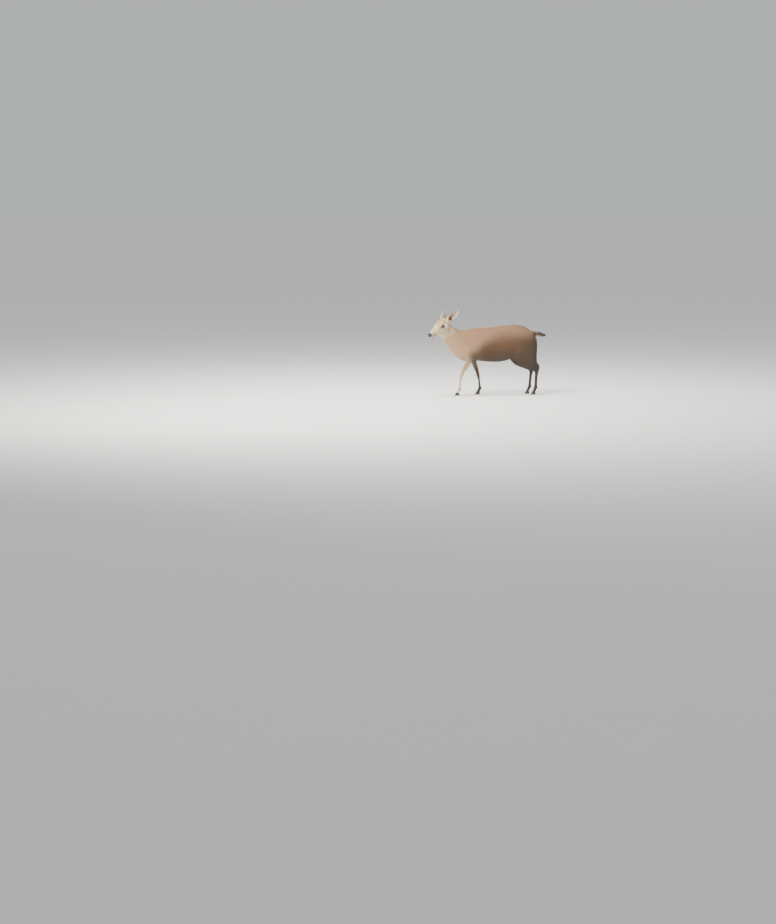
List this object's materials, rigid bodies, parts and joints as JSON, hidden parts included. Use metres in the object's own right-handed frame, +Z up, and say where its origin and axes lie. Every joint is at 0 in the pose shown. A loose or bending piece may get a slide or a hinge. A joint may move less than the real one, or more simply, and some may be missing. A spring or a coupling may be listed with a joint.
{
  "type": "muntjac",
  "caption": "Life-size still model of a small forest deer walking, head turned to its left, both ears up and the tail held out behind.",
  "frame": {"origin": "on the floor, below the middle of the animal's bounding box", "axes": "+Z up, the animal faces -X, its left side towards -Y"},
  "size_m": [0.862, 0.1886, 0.6052],
  "materials": {
    "coat": "short reddish tan fur",
    "pale_coat": "short pale buff fur",
    "dark_coat": "short grey-brown fur",
    "horn": "dull dark horn",
    "nose": "moist grained skin",
    "eye": "wet gloss"
  },
  "bodies": {
    "root": {"head": "coat", "lower_jaw": "pale_coat", "nose_pad": "nose", "eye_left": "eye", "eye_right": "eye", "ear_left": "dark_coat", "ear_right": "dark_coat", "neck": "pale_coat", "torso": "coat", "tail": "dark_coat", "foreleg_left_upper_arm": "coat", "foreleg_left_forearm": "coat", "foreleg_left_cannon": "coat", "foreleg_left_foot": "coat", "foreleg_left_hoof_inner": "horn", "foreleg_left_dewclaw_inner": "horn", "foreleg_left_hoof_outer": "horn", "foreleg_left_dewclaw_outer": "horn", "foreleg_right_upper_arm": "coat", "foreleg_right_forearm": "coat", "foreleg_right_cannon": "coat", "foreleg_right_foot": "coat", "foreleg_right_hoof_inner": "horn", "foreleg_right_dewclaw_inner": "horn", "foreleg_right_hoof_outer": "horn", "foreleg_right_dewclaw_outer": "horn", "hindleg_left_thigh": "coat", "hindleg_left_shank": "coat", "hindleg_left_cannon": "coat", "hindleg_left_foot": "coat", "hindleg_left_hoof_inner": "horn", "hindleg_left_dewclaw_inner": "horn", "hindleg_left_hoof_outer": "horn", "hindleg_left_dewclaw_outer": "horn", "hindleg_right_thigh": "coat", "hindleg_right_shank": "coat", "hindleg_right_cannon": "coat", "hindleg_right_foot": "coat", "hindleg_right_hoof_inner": "horn", "hindleg_right_dewclaw_inner": "horn", "hindleg_right_hoof_outer": "horn", "hindleg_right_dewclaw_outer": "horn"}
  },
  "joints": []
}
